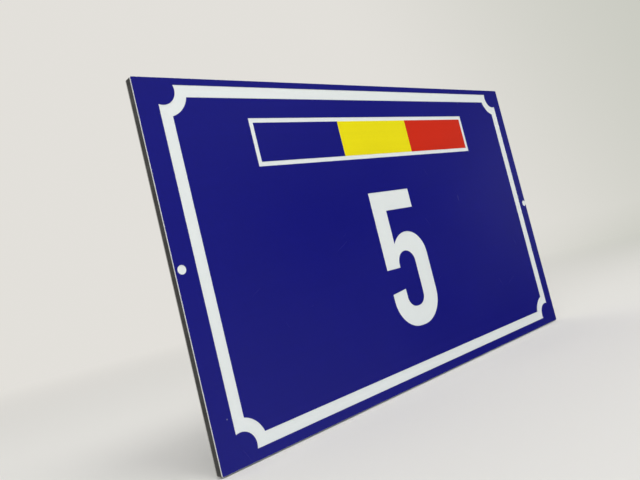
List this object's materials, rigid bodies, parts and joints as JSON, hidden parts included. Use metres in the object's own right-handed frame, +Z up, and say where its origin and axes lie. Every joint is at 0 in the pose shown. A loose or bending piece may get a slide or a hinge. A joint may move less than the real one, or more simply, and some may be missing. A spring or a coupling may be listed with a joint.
{
  "type": "house number plaque",
  "caption": "Flat rectangular house number plaque of aluminium composite, printed blue with a notched white border, a framed three-colour band and a white numeral.",
  "frame": {"origin": "centre of the flat back face, where the plaque meets the wall", "axes": "+X to the viewer's right along the long side, +Y from the printed face into the wall, +Z up"},
  "size_m": [0.25, 0.0041, 0.15],
  "materials": {
    "white_lacquer": "gloss white lacquer on aluminium",
    "back_lacquer": "satin light grey primer on aluminium",
    "core_plastic": "sawn dark grey polyethylene",
    "blue_print": "gloss blue print",
    "yellow_print": "gloss yellow print",
    "red_print": "gloss red print"
  },
  "bodies": {
    "root": {"front_skin": "white_lacquer", "core": "core_plastic", "back_skin": "back_lacquer", "blue_margin": "blue_print", "blue_ground": "blue_print", "blue_band": "blue_print", "yellow_band": "yellow_print", "red_band": "red_print"}
  },
  "joints": []
}
